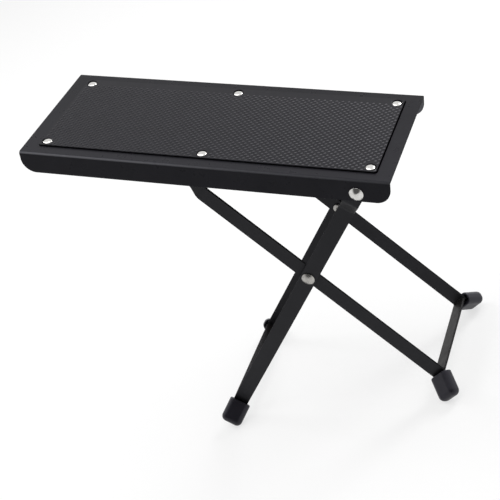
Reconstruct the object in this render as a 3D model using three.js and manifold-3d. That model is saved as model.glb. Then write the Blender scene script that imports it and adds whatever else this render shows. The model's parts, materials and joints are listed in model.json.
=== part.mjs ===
// Folding guitar footrest, in millimetres, +Z up, standing on its four rubber caps on z = 0.
// The tread plate hinges at its right end on the outer leg frame. The inner leg frame turns on the
// outer one like scissors, and its latch rod carries the tread plate in a notch of the two racks.
import * as THREE from 'three';
import { mergeVertices } from 'three/addons/utils/BufferGeometryUtils.js';
import Module from 'manifold-3d';

const wasm = await Module();
wasm.setup();

// Clearances
const seat_gap = 0.3;
const overrun = 4;

// Tread plate: one sheet with two flanges bent down
const tread_length = 251;
const tread_depth = 102.7;
const sheet = 1.5;
const flange_height = 15.7;
const tread_bend = 1.8;
const flange_left_round = 9.7;
const flange_right_round = 9;

// Rubber mat on the tread
const mat_margin_x = 10.5;
const mat_margin_y = 9.05;
const mat_thickness = 1.1;
const mat_corner = 1.6;

// Flat bar of both leg frames
const bar_width = 11;
const bar_thickness = 1.6;
const bar_bend = 3.5;

// Outer leg frame
const hinge_inset = 21.2;
const hinge_drop = 10.1;
const hinge_to_centre = 89.3;
const hinge_to_splay = 232.3;
const outer_splay = 46;
const outer_joggle = 7;
const outer_joggle_start = 11.3;
const outer_joggle_run = 10.4;
const outer_angle = 63.3;
const outer_folded_angle = 3.3;

// Inner leg frame
const centre_to_rod = 119.5;
const centre_to_splay = 114.6;
const inner_splay = 46;
const inner_joggle = 5;
const inner_joggle_start = 91.5;
const inner_joggle_run = 7.5;
const inner_angle = 41.3;
const inner_folded_angle = 2;

// Latch rod and the racks that it catches
const rod_radius = 3;
const rod_head_radius = 4.2;
const rod_head_height = 1.2;
const rack_sheet = 2;
const rack_foot = 10;
const rack_clearance = 3.5;
const notch_pitch = 12;
const notch_count = 5;
const rack_end = 4;
const stop_width = 6;
const stop_depth = 1.5;

// Rubber caps on the leg tips
const cap_width = 16;
const cap_depth = 9.5;
const cap_corner = 4.2;
const cap_length = 18;
const cap_rim = 1;
const cap_end_round = 4;
const cap_from_splay = 0.4;
const tip_length = 13.5;
const mouth_depth = 2;
const mouth_rim = 1;
const cap_flat = 0.9;

// Rivets and washers: head, shank and tail of each kind
const mat_rivet = { head: 3, dome: 0.8, shank: 1.6, tail: 2.6, tail_height: 1 };
const mat_rivet_rim = 0.5;
const mat_rivet_inset_x = 4.6;
const mat_rivet_inset_y = 4.95;
const hinge_rivet = { head: 4.6, dome: 2.4, shank: 2.4, tail: 3.8, tail_height: 1.1 };
const centre_rivet = { head: 4.5, dome: 1.8, shank: 2.4, tail: 3.8, tail_height: 1.1 };
const washer_radius = 5.2;
const washer_thickness = 1;

// Sides of round pieces and of the caps, steps of an arc, a bend and a dome, halvings of a search
const round_sides = 20;
const cap_sides = 24;
const arc_steps = 8;
const bend_steps = 4;
const dome_steps = 4;
const search_steps = 32;

const half = (size) => size / 2;
const radians = THREE.MathUtils.degToRad;

// Materials
const finish = (color, roughness, metalness) => ({ color, roughness, metalness });
const powder_coat = finish(0x2b2b2d, 0.55, 0.1);
const mat_rubber = finish(0x46454a, 0.8, 0);
const cap_rubber = finish(0x2a292e, 0.6, 0);
const nickel = finish(0xd8d9da, 0.25, 0.9);
const zinc = finish(0xa09e9a, 0.4, 0.85);

// Solids and booleans
const to_solid = (geometry) => {
  const bare = geometry.clone();
  bare.deleteAttribute('normal');
  bare.deleteAttribute('uv');
  const merged = mergeVertices(bare);
  return new wasm.Manifold(new wasm.Mesh({
    numProp: 3,
    vertProperties: new Float32Array(merged.attributes.position.array),
    triVerts: new Uint32Array(merged.index.array),
  }));
};

const to_geometry = (solid) => {
  const mesh = solid.getMesh();
  const geometry = new THREE.BufferGeometry();
  geometry.setAttribute('position', new THREE.BufferAttribute(mesh.vertProperties, 3));
  geometry.setIndex(new THREE.BufferAttribute(mesh.triVerts, 1));
  geometry.computeVertexNormals();
  return geometry;
};

const cut = (geometry, cutters) => {
  let solid = to_solid(geometry);
  for (const cutter of cutters) solid = solid.subtract(to_solid(cutter));
  return to_geometry(solid);
};

const keep = (geometry, limit) => to_geometry(to_solid(geometry).intersect(to_solid(limit)));

const mesh = (name, geometry, material) => {
  const look = new THREE.MeshStandardMaterial({ ...material, flatShading: true });
  const piece = new THREE.Mesh(geometry, look);
  piece.name = name;
  return piece;
};

// Prisms: an outline in two axes, extruded evenly about zero along the third
const axis_x = new THREE.Vector3(1, 0, 0);
const axis_y = new THREE.Vector3(0, 1, 0);
const axis_z = new THREE.Vector3(0, 0, 1);

const extrude = (shape, depth, segments) => {
  const geometry = new THREE.ExtrudeGeometry(shape, { depth, bevelEnabled: false, curveSegments: segments });
  return geometry.translate(0, 0, -half(depth));
};

const prism_along_x = (shape, depth, segments = bend_steps) => {
  const turn = new THREE.Matrix4().makeBasis(axis_y, axis_z, axis_x);
  return extrude(shape, depth, segments).applyMatrix4(turn);
};

const prism_along_y = (shape, depth, segments = bend_steps) => {
  const turn = new THREE.Matrix4().makeBasis(axis_x, axis_z, axis_y.clone().negate());
  return extrude(shape, depth, segments).applyMatrix4(turn);
};

const box = (x, y, z, at_x = 0, at_y = 0, at_z = 0) => new THREE.BoxGeometry(x, y, z).translate(at_x, at_y, at_z);

const pin_along_y = (radius, length) => new THREE.CylinderGeometry(radius, radius, length, round_sides);

// A path with each corner rounded to a radius
const round_path = (corners, radius) => {
  const points = [corners[0]];
  for (let k = 1; k < corners.length - 1; k += 1) {
    const before = corners[k - 1].clone().sub(corners[k]).normalize();
    const after = corners[k + 1].clone().sub(corners[k]).normalize();
    const opening = Math.acos(before.dot(after));
    const reach = radius / Math.tan(half(opening));
    const middle = before.clone().add(after).normalize().multiplyScalar(radius / Math.sin(half(opening)));
    const centre = corners[k].clone().add(middle);
    const from = corners[k].clone().addScaledVector(before, reach).sub(centre);
    const to = corners[k].clone().addScaledVector(after, reach).sub(centre);
    const sweep = Math.atan2(from.cross(to), from.dot(to));
    for (let step = 0; step <= bend_steps; step += 1) {
      const turned = from.clone().rotateAround(new THREE.Vector2(), sweep * step / bend_steps);
      points.push(turned.add(centre));
    }
  }
  points.push(corners[corners.length - 1]);
  return points;
};

// The two sides of a strip of even thickness about a path
const strip_outline = (path, thickness) => {
  const side = (sign) => path.map((point, k) => {
    const before = path[Math.max(k, 1)].clone().sub(path[Math.max(k, 1) - 1]).normalize();
    const next = Math.min(k, path.length - 2);
    const after = path[next + 1].clone().sub(path[next]).normalize();
    const along = before.add(after).normalize();
    const straight = path[next + 1].clone().sub(path[next]).normalize();
    const stretch = half(thickness) / along.dot(straight);
    return new THREE.Vector2(point.x - along.y * stretch * sign, point.y + along.x * stretch * sign);
  });
  return new THREE.Shape([...side(1), ...side(-1).reverse()]);
};

// Rivet or headed pin about the Y axis: the head's underside at zero, its dome towards -Y
const rivet_about_y = (kind, grip) => {
  const ball = (kind.head ** 2 + kind.dome ** 2) / (2 * kind.dome);
  const spread = Math.asin(Math.min(1, kind.head / ball));
  const points = [];
  for (let step = 0; step <= dome_steps; step += 1) {
    const angle = spread * step / dome_steps;
    points.push(new THREE.Vector2(ball * Math.sin(angle), ball - kind.dome - ball * Math.cos(angle)));
  }
  points[0].x = 0;
  points.push(new THREE.Vector2(kind.shank, 0));
  points.push(new THREE.Vector2(kind.shank, grip));
  points.push(new THREE.Vector2(kind.tail, grip));
  points.push(new THREE.Vector2(kind.tail, grip + half(kind.tail_height)));
  points.push(new THREE.Vector2(kind.shank, grip + kind.tail_height));
  points.push(new THREE.Vector2(0, grip + kind.tail_height));
  return new THREE.LatheGeometry(points, round_sides);
};

// Places across the width, as distances from the middle plane
const flange_inside = half(tread_depth) - sheet;
const tongue_outside = flange_inside - seat_gap;
const tongue_inside = tongue_outside - bar_thickness;
const hinge_washer_outside = tongue_inside - seat_gap;
const hinge_tail_outside = hinge_washer_outside - washer_thickness - seat_gap;
const outer_outside = tongue_outside - outer_joggle;
const outer_inside = outer_outside - bar_thickness;
const centre_washer_outside = outer_inside - seat_gap;
const inner_outside = centre_washer_outside - washer_thickness - seat_gap;
const inner_inside = inner_outside - bar_thickness;
const centre_tail_outside = inner_inside - seat_gap;
const catch_outside = inner_outside - inner_joggle;
const catch_inside = catch_outside - bar_thickness;
const rack_outside = catch_inside - rack_clearance;

// Places in the tread's own frame: x along it from its middle, z from its top face
const hinge_point = new THREE.Vector2(half(tread_length) - hinge_inset, -hinge_drop);

const points_at = (outer, inner) => {
  const down = new THREE.Vector2(-Math.cos(radians(outer)), -Math.sin(radians(outer)));
  const up = new THREE.Vector2(-Math.cos(radians(inner)), Math.sin(radians(inner)));
  const centre = hinge_point.clone().addScaledVector(down, hinge_to_centre);
  const rod = centre.clone().addScaledVector(up, centre_to_rod);
  return { centre, rod };
};

const rest_points = points_at(outer_angle, inner_angle);

// The rod's height below the tread as it passes a place during the fold
const rod_height_at = (x) => {
  let early = 0;
  let late = 1;
  const at_share = (share) => points_at(
    THREE.MathUtils.lerp(outer_angle, outer_folded_angle, share),
    THREE.MathUtils.lerp(inner_angle, inner_folded_angle, share),
  ).rod;
  for (let step = 0; step < search_steps; step += 1) {
    const share = half(early + late);
    if (at_share(share).x > x) early = share;
    else late = share;
  }
  return at_share(early).y;
};

// Tread plate
const tread_profile = () => {
  const out = half(tread_depth);
  const inner_bend = tread_bend - sheet;
  const shape = new THREE.Shape();
  shape.moveTo(-out, -flange_height);
  shape.lineTo(-out + sheet, -flange_height);
  shape.absarc(-out + tread_bend, -tread_bend, inner_bend, Math.PI, half(Math.PI), true);
  shape.absarc(out - tread_bend, -tread_bend, inner_bend, half(Math.PI), 0, true);
  shape.lineTo(out - sheet, -flange_height);
  shape.lineTo(out, -flange_height);
  shape.absarc(out - tread_bend, -tread_bend, tread_bend, 0, half(Math.PI), false);
  shape.absarc(-out + tread_bend, -tread_bend, tread_bend, half(Math.PI), Math.PI, false);
  return shape;
};

const tread_side = () => {
  const end = half(tread_length);
  const left = flange_left_round;
  const right = flange_right_round;
  const shape = new THREE.Shape();
  shape.moveTo(-end, overrun);
  shape.lineTo(-end, left - flange_height);
  shape.absarc(left - end, left - flange_height, left, Math.PI, 1.5 * Math.PI, false);
  shape.absarc(end - right, right - flange_height, right, -half(Math.PI), 0, false);
  shape.lineTo(end, overrun);
  return shape;
};

const mat_length = tread_length - 2 * mat_margin_x;
const mat_depth = tread_depth - 2 * mat_margin_y;

const mat_rivet_places = [];
for (const row of [-1, 1]) {
  for (const column of [-1, 0, 1]) {
    mat_rivet_places.push([
      column * (half(mat_length) - mat_rivet_inset_x),
      row * (half(mat_depth) - mat_rivet_inset_y),
    ]);
  }
}

const rivet_holes = (radius) => mat_rivet_places.map(([x, y]) => {
  const hole = pin_along_y(radius, overrun);
  return hole.rotateX(half(Math.PI)).translate(x, y, 0);
});

const make_tread_plate = () => {
  const channel = keep(
    prism_along_x(tread_profile(), tread_length),
    prism_along_y(tread_side(), tread_depth + overrun, arc_steps),
  );
  const hinge_hole = pin_along_y(hinge_rivet.shank + seat_gap, tread_depth + overrun);
  hinge_hole.translate(hinge_point.x, 0, hinge_point.y);
  return mesh('tread_plate', cut(channel, [hinge_hole, ...rivet_holes(mat_rivet.shank + seat_gap)]), powder_coat);
};

const make_mat = () => {
  const x = half(mat_length) - mat_corner;
  const y = half(mat_depth) - mat_corner;
  const quarter = half(Math.PI);
  const shape = new THREE.Shape();
  shape.absarc(x, y, mat_corner, 0, quarter, false);
  shape.absarc(-x, y, mat_corner, quarter, 2 * quarter, false);
  shape.absarc(-x, -y, mat_corner, 2 * quarter, 3 * quarter, false);
  shape.absarc(x, -y, mat_corner, 3 * quarter, 4 * quarter, false);
  const slab = extrude(shape, mat_thickness, bend_steps).translate(0, 0, seat_gap + half(mat_thickness));
  return mesh('tread_mat', cut(slab, rivet_holes(mat_rivet.head + mat_rivet_rim)), mat_rubber);
};

const make_mat_rivets = () => mat_rivet_places.map(([x, y], k) => {
  const grip = seat_gap + sheet + seat_gap;
  const geometry = rivet_about_y(mat_rivet, grip).rotateX(-half(Math.PI));
  const piece = mesh(`mat_rivet_${k + 1}`, geometry, nickel);
  piece.position.set(x, y, seat_gap);
  return piece;
});

// Pieces that repeat on the near side, -1, and on the far side, 1
const sides = [['near', -1], ['far', 1]];

const rivet_on_side = (name, kind, side, outside, tail_outside, material) => {
  const geometry = rivet_about_y(kind, outside - tail_outside);
  const piece = mesh(name, geometry, material);
  piece.rotation.z = side < 0 ? 0 : Math.PI;
  piece.position.y = side * outside;
  return piece;
};

const washer_on_side = (name, side, outside, bore) => {
  const ring = cut(pin_along_y(washer_radius, washer_thickness), [pin_along_y(bore, washer_thickness + overrun)]);
  const piece = mesh(name, ring, zinc);
  piece.position.y = side * (outside - half(washer_thickness));
  return piece;
};

// Notched rack under the tread: an angle with its foot towards the middle
const make_rack = (name, side) => {
  const top = -sheet - seat_gap;
  const notch_radius = rod_radius + seat_gap;
  const rod = rest_points.rod;
  const bottom = rod.y - rod_radius - stop_depth;
  const right = rod.x + notch_radius + stop_width;
  const left = rod.x - (notch_count - 1) * notch_pitch - notch_radius - rack_end;
  const outside = side * rack_outside;
  const inside = side * (rack_outside - rack_sheet);
  const profile = new THREE.Shape();
  profile.moveTo(outside, bottom);
  profile.lineTo(outside, top);
  profile.lineTo(side * (rack_outside - rack_foot), top);
  profile.lineTo(side * (rack_outside - rack_foot), top - rack_sheet);
  profile.lineTo(inside, top - rack_sheet);
  profile.lineTo(inside, bottom);
  const angle = prism_along_x(profile, right - left).translate(half(right + left), 0, 0);
  const cutters = [];
  for (let k = 0; k < notch_count; k += 1) {
    const x = rod.x - k * notch_pitch;
    const notch = new THREE.Shape();
    notch.moveTo(x - notch_radius, bottom - overrun);
    notch.lineTo(x + notch_radius, bottom - overrun);
    notch.absarc(x, rod.y, notch_radius, 0, Math.PI, false);
    cutters.push(prism_along_y(notch, tread_depth, arc_steps));
    const tooth_right = x - notch_radius;
    const tooth_left = x - notch_pitch + notch_radius;
    const tip = Math.max(rod_height_at(tooth_right), rod_height_at(tooth_left)) + rod_radius + seat_gap;
    const height = tip - bottom + overrun;
    cutters.push(box(notch_pitch, tread_depth, height, x - half(notch_pitch), 0, tip - half(height)));
  }
  return mesh(name, cut(angle, cutters), powder_coat);
};

// Legs: the path runs along the leg in x and across the object in y, and the width lies along z
const make_leg = (name, corners, side, pins) => {
  const path = round_path(corners.map(([x, y]) => new THREE.Vector2(x, side * y)), bar_bend);
  const blank = extrude(strip_outline(path, bar_thickness), bar_width, bend_steps);
  const start = corners[0][0];
  const end = corners[corners.length - 1][0] + overrun;
  const outline = new THREE.Shape();
  const round = half(bar_width);
  outline.moveTo(end, -round);
  outline.lineTo(end, round);
  outline.absarc(start + round, 0, round, half(Math.PI), 1.5 * Math.PI, false);
  const limit = prism_along_y(outline, 2 * tread_depth, arc_steps);
  const holes = pins.map(([x, radius]) => pin_along_y(radius + seat_gap, 2 * tread_depth).translate(x, 0, 0));
  return mesh(name, cut(keep(blank, limit), holes), powder_coat);
};

// The middle of the bar's thickness on each straight part
const middle = (outside) => outside - half(bar_thickness);

const tip_corners = (splay_at, outside, splay) => [
  [splay_at, middle(outside)],
  [
    splay_at + tip_length * Math.cos(radians(splay)),
    middle(outside) + tip_length * Math.sin(radians(splay)),
  ],
];

const outer_corners = [
  [-half(bar_width), middle(tongue_outside)],
  [outer_joggle_start, middle(tongue_outside)],
  [outer_joggle_start + outer_joggle_run, middle(outer_outside)],
  ...tip_corners(hinge_to_splay, outer_outside, outer_splay),
];

const inner_corners = [
  [-centre_to_rod - half(bar_width), middle(catch_outside)],
  [-inner_joggle_start - inner_joggle_run, middle(catch_outside)],
  [-inner_joggle_start, middle(inner_outside)],
  ...tip_corners(centre_to_splay, inner_outside, inner_splay),
];

// Rubber cap: a sleeve of rounded section, closed at its far end, on the splayed tip
const cap_ring = (x, inset) => {
  const ring = [];
  const corner = cap_corner - inset;
  for (let k = 0; k < cap_sides; k += 1) {
    const angle = 2 * Math.PI * (k + half(1)) / cap_sides;
    const y = Math.sign(Math.cos(angle)) * (half(cap_depth) - cap_corner) + corner * Math.cos(angle);
    const z = Math.sign(Math.sin(angle)) * (half(cap_width) - cap_corner) + corner * Math.sin(angle);
    ring.push([x, y, z]);
  }
  return ring;
};

const cap_body = () => {
  const rings = [cap_ring(0, cap_rim), cap_ring(half(cap_rim), half(half(cap_rim))), cap_ring(cap_rim, 0)];
  for (let step = 0; step <= bend_steps; step += 1) {
    const angle = half(Math.PI) * step / bend_steps;
    rings.push(cap_ring(
      cap_length - cap_end_round * (1 - Math.sin(angle)),
      cap_end_round * (1 - Math.cos(angle)),
    ));
  }
  const positions = rings.flat(2);
  const faces = [];
  for (let r = 0; r < rings.length - 1; r += 1) {
    for (let k = 0; k < cap_sides; k += 1) {
      const next = (k + 1) % cap_sides;
      const a = r * cap_sides + k;
      const b = r * cap_sides + next;
      faces.push(a, b, a + cap_sides, b, b + cap_sides, a + cap_sides);
    }
  }
  const last = (rings.length - 1) * cap_sides;
  for (let k = 1; k < cap_sides - 1; k += 1) {
    faces.push(0, k + 1, k);
    faces.push(last, last + k, last + k + 1);
  }
  const geometry = new THREE.BufferGeometry();
  geometry.setAttribute('position', new THREE.Float32BufferAttribute(positions, 3));
  geometry.setIndex(faces);
  return geometry;
};

const cap_on_leg = (splay_at, outside, splay, side) => {
  const hollow = (depth, gap) => {
    return box(depth + overrun, bar_thickness + 2 * gap, bar_width + 2 * gap, half(depth - overrun));
  };
  const socket = hollow(tip_length - cap_from_splay + seat_gap, seat_gap);
  const geometry = cut(cap_body(), [socket, hollow(mouth_depth, seat_gap + mouth_rim)]);
  geometry.translate(cap_from_splay, 0, 0).rotateZ(side * radians(splay));
  return geometry.translate(splay_at, side * middle(outside), 0);
};

// The tilt of the tread at which the caps of both frames stand on one level floor
const lowest = (geometry, turn, drop) => {
  const sole = geometry.clone().applyMatrix4(new THREE.Matrix4().makeRotationY(turn));
  sole.computeBoundingBox();
  return sole.boundingBox.min.z + drop;
};

const outer_cap_near = cap_on_leg(hinge_to_splay, outer_outside, outer_splay, -1);
const inner_cap_near = cap_on_leg(centre_to_splay, inner_outside, inner_splay, -1);
const outer_turn = (tilt) => Math.PI - radians(outer_angle) + tilt;
const inner_turn = (tilt) => radians(inner_angle) + tilt;

const heights_at = (tilt) => {
  const centre_drop = -hinge_to_centre * Math.sin(outer_turn(tilt));
  const outer_low = lowest(outer_cap_near, outer_turn(tilt), 0);
  const inner_low = lowest(inner_cap_near, inner_turn(tilt), centre_drop);
  return { outer_low, inner_low };
};

const find_tilt = () => {
  let small = 0;
  let large = half(Math.PI) - radians(inner_angle);
  for (let step = 0; step < search_steps; step += 1) {
    const tilt = half(small + large);
    const { outer_low, inner_low } = heights_at(tilt);
    if (inner_low > outer_low) small = tilt;
    else large = tilt;
  }
  return small;
};

const tilt = find_tilt();
const hinge_height = -heights_at(tilt).outer_low - cap_flat;

// Assembly: the outer frame turns about the hinge, the inner one about the centre rivets
const part = new THREE.Group();

const outer_frame = new THREE.Group();
outer_frame.position.z = hinge_height;
outer_frame.rotation.y = outer_turn(tilt);
part.add(outer_frame);

const inner_frame = new THREE.Group();
inner_frame.position.set(
  hinge_to_centre * Math.cos(outer_turn(tilt)),
  0,
  hinge_height - hinge_to_centre * Math.sin(outer_turn(tilt)),
);
inner_frame.rotation.y = inner_turn(tilt);
part.add(inner_frame);

const tread = new THREE.Group();
tread.rotation.y = tilt;
tread.position.set(-hinge_point.x, 0, -hinge_point.y).applyAxisAngle(axis_y, tilt);
tread.position.z += hinge_height;
part.add(tread);

// Each cap is cut flat where it stands on the floor
const floor_cut = (geometry, frame) => {
  frame.updateMatrixWorld();
  const reach = 4 * tread_length;
  const ground = box(reach, reach, reach, 0, 0, -half(reach));
  return cut(geometry, [ground.applyMatrix4(frame.matrixWorld.clone().invert())]);
};

// A cross bar stands between the legs of a frame, where their tips begin to splay
const cross_bar = (name, splay_at, inside) => {
  const length = 2 * (inside - seat_gap);
  return mesh(name, box(bar_thickness, length, bar_width, splay_at - half(bar_thickness)), powder_coat);
};

tread.add(make_tread_plate(), make_mat(), ...make_mat_rivets());
for (const [word, side] of sides) {
  tread.add(make_rack(`notch_rack_${word}`, side));
  const hinge = new THREE.Group();
  hinge.position.set(hinge_point.x, 0, hinge_point.y);
  const head_at = half(tread_depth) + seat_gap;
  hinge.add(rivet_on_side(`hinge_rivet_${word}`, hinge_rivet, side, head_at, hinge_tail_outside, nickel));
  const bore = hinge_rivet.shank + seat_gap;
  hinge.add(washer_on_side(`hinge_washer_${word}`, side, hinge_washer_outside, bore));
  tread.add(hinge);
}

for (const [word, side] of sides) {
  const pins = [[0, hinge_rivet.shank], [hinge_to_centre, centre_rivet.shank]];
  outer_frame.add(make_leg(`outer_leg_${word}`, outer_corners, side, pins));
  const cap = floor_cut(cap_on_leg(hinge_to_splay, outer_outside, outer_splay, side), outer_frame);
  outer_frame.add(mesh(`outer_cap_${word}`, cap, cap_rubber));
  const centre = new THREE.Group();
  centre.position.x = hinge_to_centre;
  const head_at = outer_outside + seat_gap;
  centre.add(rivet_on_side(`centre_rivet_${word}`, centre_rivet, side, head_at, centre_tail_outside, zinc));
  const bore = centre_rivet.shank + seat_gap;
  centre.add(washer_on_side(`centre_washer_${word}`, side, centre_washer_outside, bore));
  outer_frame.add(centre);
}
outer_frame.add(cross_bar('outer_cross_bar', hinge_to_splay, outer_inside));

for (const [word, side] of sides) {
  const pins = [[0, centre_rivet.shank], [-centre_to_rod, rod_radius]];
  inner_frame.add(make_leg(`inner_leg_${word}`, inner_corners, side, pins));
  const cap = floor_cut(cap_on_leg(centre_to_splay, inner_outside, inner_splay, side), inner_frame);
  inner_frame.add(mesh(`inner_cap_${word}`, cap, cap_rubber));
}
inner_frame.add(cross_bar('inner_cross_bar', centre_to_splay, inner_inside));

// Latch rod, with its ends upset outside the inner legs
const rod_points = (() => {
  const neck = catch_outside + seat_gap;
  const end = neck + rod_head_height;
  return [
    [0, -end], [rod_head_radius - half(rod_head_height), -end], [rod_head_radius, -end + half(rod_head_height)],
    [rod_head_radius, -neck], [rod_radius, -neck], [rod_radius, neck], [rod_head_radius, neck],
    [rod_head_radius, end - half(rod_head_height)], [rod_head_radius - half(rod_head_height), end], [0, end],
  ].map(([radius, y]) => new THREE.Vector2(radius, y));
})();
const rod = mesh('latch_rod', new THREE.LatheGeometry(rod_points, round_sides), zinc);
rod.position.x = -centre_to_rod;
inner_frame.add(rod);

// The origin is under the middle of the whole object
part.updateMatrixWorld(true);
part.position.x = -new THREE.Box3().setFromObject(part, true).getCenter(new THREE.Vector3()).x;

export default part;
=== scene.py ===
# Folding guitar footrest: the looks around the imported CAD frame.
import json
import math
import random

import bmesh
import bpy
from mathutils import Matrix, Vector


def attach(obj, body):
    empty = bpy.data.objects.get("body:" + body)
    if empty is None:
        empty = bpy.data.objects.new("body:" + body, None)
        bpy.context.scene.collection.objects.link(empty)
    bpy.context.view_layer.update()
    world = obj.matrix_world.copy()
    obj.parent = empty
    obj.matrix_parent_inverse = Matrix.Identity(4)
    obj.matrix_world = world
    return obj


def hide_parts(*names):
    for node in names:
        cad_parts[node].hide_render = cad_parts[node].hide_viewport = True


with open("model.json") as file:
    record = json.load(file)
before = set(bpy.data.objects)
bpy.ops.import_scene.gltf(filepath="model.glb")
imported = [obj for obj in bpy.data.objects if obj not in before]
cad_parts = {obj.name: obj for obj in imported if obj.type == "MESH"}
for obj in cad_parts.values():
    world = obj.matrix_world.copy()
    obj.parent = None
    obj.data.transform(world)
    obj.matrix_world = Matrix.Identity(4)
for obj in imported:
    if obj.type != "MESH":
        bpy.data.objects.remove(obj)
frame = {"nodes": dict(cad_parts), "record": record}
bpy.context.scene.view_settings.view_transform = "Standard"
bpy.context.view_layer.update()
NODES = frame["nodes"]
RECORD = frame["record"]

# Sizes are in millimetres and angles in degrees, as in the part's source.
# Left is the high end of the tread, right its low, hinged end, and near is the photographed side.
MM = 0.001
GAP = 0.3  # room in the solids where pieces touch on the real object
SIDES = ("near", -1), ("far", 1)

# Tread plate: a sheet with two flanges, whose lower corners are rounded
TREAD_LENGTH, TREAD_DEPTH, SHEET = 251, 102.7, 1.5
FLANGE, TREAD_BEND, LEFT_ROUND, RIGHT_ROUND = 15.7, 1.8, 9.7, 9
TREAD_STEPS = 8  # facets of a bend

# Mat: its margins on the tread, its grain of slanted dots, and the field that the grain covers
MAT_MARGIN_X, MAT_MARGIN_Y, MAT_THICK, MAT_CORNER, CORNER_STEPS = 10.5, 9.05, 1.1, 1.6, 6
DOT_PITCH_X, DOT_PITCH_Y, DOT_SLANT = 4.16, 2.05, 60
DOT_LONG, DOT_SHORT, DOT_HEIGHT, DOT_SIDES = 1.2, 0.82, 0.28, 12
DOT_LEVELS = (1.0, -0.1), (0.8, 0.36), (0.45, 0.8)  # shares of its radius and of its height
DOT_INSET = 0.05  # what the grain keeps from the mat's edge
FIELD_LEFT, FIELD_RIGHT, FIELD_NEAR, FIELD_FAR = -111, 114.2, -41.5, 35.3
MAT_X, MAT_Y = TREAD_LENGTH / 2 - MAT_MARGIN_X, TREAD_DEPTH / 2 - MAT_MARGIN_Y

# The mat is open round its rivets' heads, a little outwards of them, and dips towards them
OPENING_RIM, OPENING_SHIFT, OPENING_POINTS = 0.5, 0.3, 32
MAT_DIP = (0, 0.5), (0.2, 0.2), (0.55, 0)  # depth, and how much wider the opening is there

# Painted shadow along the mat's edge, built as a black bead: its width at the left, at the right
# and, added, at the near side
SHADOW_BEAD_LEFT, SHADOW_BEAD_RIGHT, SHADOW_BEAD_NEAR = 0.25, 0.85, 0.05
SHADOW_BEAD_PROFILE = (-0.3, 0), (-0.3, 0.5), (0, 0.5), (0.45, 0.4), (0.8, 0.22), (1, 0)

# Legs: flat bars with a joggle, and a tip that is splayed outwards
BAR_WIDTH, BAR_THICK, BAR_BEND, CATCH_BEND = 11, 1.6, 3.5, 8
HINGE_TO_CENTRE, HINGE_TO_SPLAY, OUTER_SPLAY = 89.3, 232.3, 46
OUTER_JOGGLE, OUTER_START, OUTER_RUN, OUTER_ANGLE = 7, 11.3, 10.4, 63.3
CENTRE_TO_ROD, CENTRE_TO_SPLAY, INNER_SPLAY = 119.5, 114.6, 46
INNER_JOGGLE, INNER_START, INNER_RUN, INNER_ANGLE = 5, 91.5, 7.5, 41.3
TIP_LENGTH, BEND_STEPS, BAR_STEPS = 13.5, 10, 24

# Rubber caps, with the rings of their body, as shares of its length,
# and the rings of their mouth: place along the tip, room round it, corner
CAP_WIDTH, CAP_DEPTH, CAP_CORNER, CAP_LENGTH = 16, 9.5, 4.2, 18
CAP_RIM, CAP_END_ROUND, CAP_FROM_SPLAY, CAP_POINTS = 1, 4.05, 0.4, 64
RIM_STEPS, END_STEPS, CAP_BODY = 6, 8, (0.3, 0.5, 0.65)
MOUTH_DEPTH, MOUTH_RIM = 2, 1
CAP_MOUTH = (
    (TIP_LENGTH - CAP_FROM_SPLAY + GAP, GAP, 0.2), (MOUTH_DEPTH, GAP, 0.2),
    (MOUTH_DEPTH, GAP + MOUTH_RIM, 1), (0.35, GAP + MOUTH_RIM, 1),
    (0.1, GAP + MOUTH_RIM + 0.1, 1.1), (0, GAP + MOUTH_RIM + 0.35, 1.3),
)

# Rod, washers and rivets. A rivet's tail is rolled hollow, in shares of its radius and height.
ROD_RADIUS, ROD_HEAD, ROD_HEAD_HEIGHT, ROD_ROUND, ROD_CHAMFER, ROD_STEP = 3, 4.2, 1.2, 0.6, 0.1, 4
WASHER_RADIUS, WASHER_THICK, WASHER_CHAMFER = 5.2, 1, 0.15
MAT_RIVET = dict(head=3, dome=0.8, flatness=3.4, shank=1.6, tail=2.6, tail_height=1)
HINGE_RIVET = dict(head=4.6, dome=2.4, flatness=2, shank=2.4, tail=3.8, tail_height=1.1)
CENTRE_RIVET = dict(head=4.5, dome=1.8, flatness=2, shank=2.4, tail=3.8, tail_height=1.1)
RIVET_RIM, RIM_ROUND, HEAD_CHAMFER, DOME_STEPS = 0.25, 0.06, 0.08, 14
RIVET_TAIL = (
    (0.95, 0.04), (1.0, 0.22), (0.99, 0.45), (0.94, 0.7), (0.86, 0.88), (0.76, 0.97), (0.66, 1.0),
    (0.56, 0.96), (0.48, 0.84), (0.43, 0.62), (0.41, 0.35), (0.38, 0.15), (0.3, 0.06), (0, 0.03),
)
RIVET_INSET_X, RIVET_INSET_Y = 4.6, 4.95
RIVET_PLACES = [
    (column * (MAT_X - RIVET_INSET_X), row * (MAT_Y - RIVET_INSET_Y))
    for row in (-1, 1) for column in (-1, 0, 1)
]

# Welds at the cross bars: ripples along the joint
RIPPLES, RIPPLE_MARGIN, RIPPLE_SPREAD, RIPPLE_IN = 11, 1.6, 0.12, 0.35
RIPPLE_SHAPE = (0.8, 0.75, 0.8, 1)

# Widths of the softened edges of the sheet, the bars and the racks
SHEET_EDGE, BAR_EDGE, RACK_EDGE = 0.3, 0.35, 0.25
MERGE_WITHIN = 1e-4

# Distances from the middle plane
TONGUE_OUT = TREAD_DEPTH / 2 - SHEET - GAP
TONGUE_IN = TONGUE_OUT - BAR_THICK
HINGE_WASHER_OUT = TONGUE_IN - GAP
HINGE_TAIL_OUT = HINGE_WASHER_OUT - WASHER_THICK - GAP
OUTER_OUT = TONGUE_OUT - OUTER_JOGGLE
OUTER_IN = OUTER_OUT - BAR_THICK
CENTRE_WASHER_OUT = OUTER_IN - GAP
INNER_OUT = CENTRE_WASHER_OUT - WASHER_THICK - GAP
INNER_IN = INNER_OUT - BAR_THICK
CENTRE_TAIL_OUT = INNER_IN - GAP
CATCH_OUT = INNER_OUT - INNER_JOGGLE

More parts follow.
